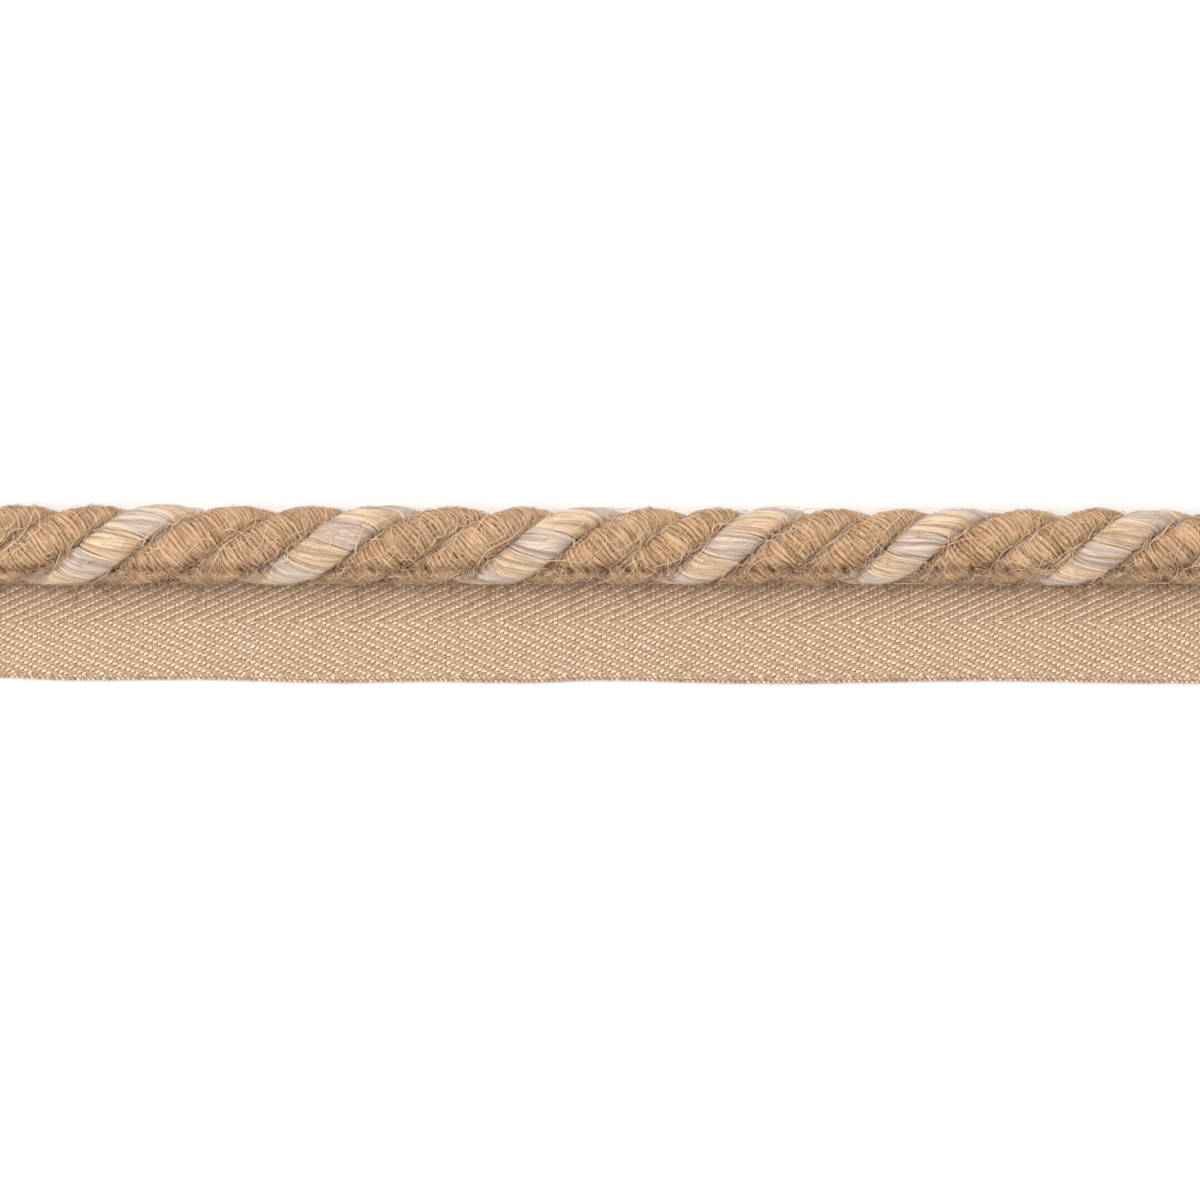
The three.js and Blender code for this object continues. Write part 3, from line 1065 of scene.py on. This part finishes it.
class LIPCORD_OT_fuzz(bpy.types.Operator):
    """Lays the loose hairs of the yarn over the strands and the tape"""

    bl_idname = "lip_cord.fuzz"
    bl_label = "Fuzz"

    def execute(self, context):
        settings = context.scene.lip_cord
        look = settings.fuzz
        self.radius = look.radius / MM
        self.yarn = thread_material("Yarn hairs", look.pale, look.dark, 0.7, 0.3)
        for seed, (name, strand) in enumerate(GIMP_STRANDS.items(), 101):
            self.on_strand(name, strand, look.per_strand, seed)
        self.on_floss(settings.floss)
        self.over_tape()
        self.beside_floss()
        self.strays()
        self.at_stitches()
        self.frayed()
        return {"FINISHED"}

    def lay(self, name, path, thick, joints, tones, slot="gimp", material=None):
        """Adds hairs as a piece, thick in shares of the set radius."""
        mesh = lay_hairs(name, path, thick * self.radius, joints, tones)
        add_piece(mesh, [material or self.yarn])

    def along(self, rng, size, margin=2):
        return rng.uniform(-HALF_LENGTH + margin, HALF_LENGTH - margin, size)

    def on_strand(self, name, strand, count, seed):
        """Hairs of a gimp: with its wraps, along its grooves, or loose."""
        rng = np.random.default_rng(seed)
        each = (count, 1)
        reach = (HALF_LENGTH - 1) * LENGTH_SHARE
        arc = rng.uniform(-reach, reach, each)
        turn = rng.uniform(-1.7, 1.7, each)
        kind = rng.uniform(0, 1, each)
        with_wraps, loose = kind < 0.55, kind > 0.8
        in_groove = ~(with_wraps | loose)
        side = rng.choice([-1, 1], each)
        sweeps = [rng.uniform(0.4, 1.1, each), rng.uniform(0.1, 0.5, each)]
        sweep = side * np.select([with_wraps, loose], sweeps)
        runs = [rng.normal(0, 0.5, each), rng.uniform(1.5, 5, each), rng.normal(0, 1.2, each)]
        run = np.select([with_wraps, in_groove, loose], runs)
        turn = np.where(in_groove, side * rng.uniform(1.1, 1.6, each), turn)
        lift = rng.gamma(2.0, 0.045, each) + 0.02
        bend = rng.normal(0, 0.25, each)
        curl = rng.normal(0, 0.5, each)

        def path(t):
            at_turn = turn + sweep * (t - 0.5) + bend * arch(t)
            at_arc = arc + run * (t - 0.5) + curl * arch(t)
            skin = round_gimp(strand, at_arc, at_turn)
            away = unit((skin - ROPE_RADIUS) * (0, 1, 1))
            return skin + away * (lift * np.sin(np.pi * (0.1 + 0.85 * t)))[..., None]

        thick = rng.uniform(0.6, 1.3, count)
        tones = np.where(rng.uniform(0, 1, each) < 0.45, 0.1, 0.9)
        tones = np.where(in_groove, tones, 0.52)[:, 0] + rng.normal(0, 0.3, count)
        self.lay("fuzz_" + name[-1], path, thick, 3, tones)

    def on_floss(self, floss):
        """Fine pale filaments that stand off the plies."""
        rng = np.random.default_rng(141)
        each = (ON_FLOSS, 1)
        start = rng.choice([0.0, 0.5], each)
        x = self.along(rng, each, 3)
        turn = rng.uniform(-1.3, 1.3, each)
        run = rng.uniform(0.8, 3.0, each)
        drift = rng.normal(0, 0.2, each) - 2 * np.pi * run / FLOSS_TWIST
        lift = rng.gamma(2.0, 0.03, each)
        bow = rng.normal(0, 0.12, each)

        def path(t):
            at_turn = turn + drift * (t - 0.5) + bow * arch(t)
            proud = 0.01 + lift * arch(t)
            return round_ply(start, x + run * (t - 0.5), at_turn, proud)

        material = thread_material("Floss hairs", floss.silver_pale, floss.cream, 0.5, 0.3)
        self.lay("fuzz_floss", path, np.full(ON_FLOSS, 0.85), 3,
                 rng.choice([0.15, 0.9], ON_FLOSS), "floss_cream", material)

    def beside_floss(self):
        """Matted hairs that bridge the grooves between the pale strand and the gimps."""
        rng = np.random.default_rng(181)
        each = (BESIDE_FLOSS, 1)
        x = self.along(rng, each)
        side = rng.choice([-1.0, 1.0], each)
        out = rng.normal(0.6, 0.1, each)
        first = rng.normal(1.22, 0.1, each)
        last = rng.normal(0.9, 0.12, each)
        run = rng.normal(0, 0.9, each)
        bow = rng.uniform(0.0, 0.16, each)

        def path(t):
            a = out + bow * arch(t)
            b = side * (first + (last - first) * t)
            return in_rope(PALE_STRAND, x + run * (t - 0.5), a, b)

        self.lay("fuzz_beside", path, rng.uniform(0.8, 1.3, BESIDE_FLOSS), 3,
                 rng.normal(0.45, 0.25, BESIDE_FLOSS))

    def off_the_pale_strand(self, x, y):
        """Moves places on the rope's upper side along X to the nearest gimp."""
        turns = np.arccos(np.clip(y / ROPE_RADIUS - 1, -1, 1)) / (2 * np.pi) + rope_turns(x)
        off = turns - np.round(turns)
        room = PALE_STRAND.share / 2 + 0.04
        return np.where(np.abs(off) < room, x + (np.sign(off) * room - off) * PITCH, x)

    def strays(self):
        """Long pale hairs that run over the rope, most of them along its grooves."""
        rng = np.random.default_rng(171)
        in_grooves = rng.uniform(0, 1, STRAYS) < 0.7
        heading = np.where(in_grooves, rng.normal(47, 9, STRAYS), rng.uniform(-80, 80, STRAYS))
        loose = [self.along(rng, STRAYS), rng.uniform(0.8, 8.6, STRAYS), heading,
                 rng.gamma(3.0, 1.1, STRAYS), rng.uniform(0.1, 0.3, STRAYS),
                 rng.normal(0, 0.16, STRAYS)]
        hairs = np.concatenate([np.stack(loose, axis=-1), PULLED_HAIRS])
        self.on_rope("strays", rng, hairs, 1.15, 0.85, 8)

    def at_stitches(self):
        """Matted fuzz where the sewing draws in the gimps."""
        rng = np.random.default_rng(172)
        y = rng.normal(1.1, 0.6, AT_STITCHES)
        x = self.off_the_pale_strand(self.along(rng, AT_STITCHES), y)
        matted = [x, y, rng.normal(-20, 45, AT_STITCHES), rng.gamma(3.0, 0.35, AT_STITCHES),
                  rng.gamma(2.0, 0.07, AT_STITCHES), rng.normal(0, 0.16, AT_STITCHES)]
        self.on_rope("fuzz_low", rng, np.stack(matted, axis=-1), 0.9, 0.5, 3)

    def on_rope(self, name, rng, hairs, thick, tone, joints):
        """Hairs over the rope's upper side. Columns: x, y, heading, length, lift, bend."""
        count = len(hairs)
        x, y, heading, length, lift, bend = (column[:, None] for column in hairs.T)
        heading = np.radians(heading)
        wave = rng.normal(0, 0.06, (count, 1))
        side_room = 0.12

        def path(t):
            aside = length * (bend * arch(t) + wave * np.sin(2 * np.pi * t))
            along = length * (t - 0.5)
            at_x = x + along * np.cos(heading) - aside * np.sin(heading)
            at_y = y + along * np.sin(heading) + aside * np.cos(heading)
            at_y = np.clip(at_y, side_room, 2 * ROPE_RADIUS - side_room)
            rise = lift * arch(t) - 0.28 * (1 - arch(t)) - 0.06
            top = crown_height(at_x, at_y)
            return np.stack([at_x, at_y, top - drawn_down(at_x, at_y, top) + rise], axis=-1)

        self.lay(name, path, thick * rng.uniform(0.7, 1.2, count), joints,
                 rng.normal(tone, 0.25, count))

    def over_tape(self):
        """Curled hairs that reach from the rope's sewn edge over the tape."""
        rng = np.random.default_rng(151)
        each = (OVER_TAPE, 1)
        x = self.along(rng, each)
        long = rng.uniform(0, 1, each) > 0.95
        reach = np.where(long, rng.uniform(2, 3.6, each), rng.gamma(2.2, 0.35, each))
        reach = np.minimum(reach, 4)
        slide = rng.normal(0, 1, each) * (0.6 + 0.7 * reach)
        curl = rng.uniform(0.1, 0.45, each) * rng.choice([-1, 1], each)
        phase = rng.uniform(0, 6.28, each)
        high = rng.uniform(1.5, 3.6, each)
        rest = rng.uniform(1.02, 1.25, each)

        def path(t):
            fall = smooth_step(t, 0, 0.75)
            across = 0.55 - (0.45 + reach) * t + curl * np.sin(5 * t + phase)
            along = x + slide * t + curl * np.cos(4 * t + phase)
            edge = ROPE_RADIUS - np.sqrt(ROPE_RADIUS ** 2 - (ROPE_RADIUS - high) ** 2)
            y = (edge + 0.1) * (1 - fall) + across * fall
            return np.stack([along, y, high * (1 - fall) + rest * fall], axis=-1)

        self.lay("fuzz_edge", path, rng.uniform(0.8, 1.4, OVER_TAPE), 5,
                 rng.choice([0.1, 0.75], OVER_TAPE) + rng.normal(0, 0.12, OVER_TAPE))

    def frayed(self):
        """Short loose fibres at the cut ends."""
        each = (FRAYED, 1)
        for name, strand in {**GIMP_STRANDS, "pale_strand": PALE_STRAND}.items():
            rng = np.random.default_rng(FRAY_SEEDS[name])
            side = rng.choice([-1.0, 1.0], each)
            around = rng.uniform(0, 2 * np.pi, each)
            out = np.sqrt(rng.uniform(0, 0.9, each))
            length = rng.uniform(0.25, 1.5, each)
            spread = rng.normal(0, 0.3, (FRAYED, 2)) * length
            base = in_rope(strand, side * (HALF_LENGTH - 0.15), out * np.cos(around),
                           out * np.sin(around))

            def path(t):
                x = base[:, :, 0] + side * length * t
                y = base[:, :, 1] + spread[:, :1] * t ** 1.6
                z = base[:, :, 2] + spread[:, 1:] * t ** 1.6
                return np.stack([x, y, np.maximum(z, 0.1)], axis=-1)

            tone, slot = (0.95, "floss_cream") if strand is PALE_STRAND else (0.45, "gimp")
            self.lay("frayed_" + name, path, np.full(FRAYED, 1.5), 3,
                     rng.normal(tone, 0.2, FRAYED), slot)


class LIPCORD_PT_panel(bpy.types.Panel):
    """Steps and settings of the lip cord."""

    bl_idname = "LIPCORD_PT_panel"
    bl_label = "Lip Cord"
    bl_space_type = "VIEW_3D"
    bl_region_type = "UI"
    bl_category = "Lip Cord"

    def draw(self, context):
        settings = context.scene.lip_cord
        steps = self.layout.column(align=True)
        for step in STEPS:
            steps.operator(step.bl_idname)
        for part in LIPCORD_PG_settings.__annotations__:
            box = self.layout.box()
            box.label(text=part.capitalize())
            group = getattr(settings, part)
            for name in group.__annotations__:
                box.prop(group, name)


STEPS = (
    LIPCORD_OT_stage,
    LIPCORD_OT_gimp,
    LIPCORD_OT_floss,
    LIPCORD_OT_tape,
    LIPCORD_OT_stitches,
    LIPCORD_OT_fuzz,
)
CLASSES = (
    LIPCORD_PG_gimp,
    LIPCORD_PG_floss,
    LIPCORD_PG_tape,
    LIPCORD_PG_stitch,
    LIPCORD_PG_fuzz,
    LIPCORD_PG_stage,
    LIPCORD_PG_settings,
    *STEPS,
    LIPCORD_PT_panel,
)


def register():
    for part in CLASSES:
        bpy.utils.register_class(part)
    bpy.types.Scene.lip_cord = PointerProperty(type=LIPCORD_PG_settings)


def unregister():
    del bpy.types.Scene.lip_cord
    for part in reversed(CLASSES):
        bpy.utils.unregister_class(part)


def main():
    register()
    for step in STEPS:
        family, name = step.bl_idname.split(".")
        if getattr(getattr(bpy.ops, family), name)() != {"FINISHED"}:
            raise RuntimeError(step.bl_label + " did not finish")


if __name__ == "__main__":
    main()
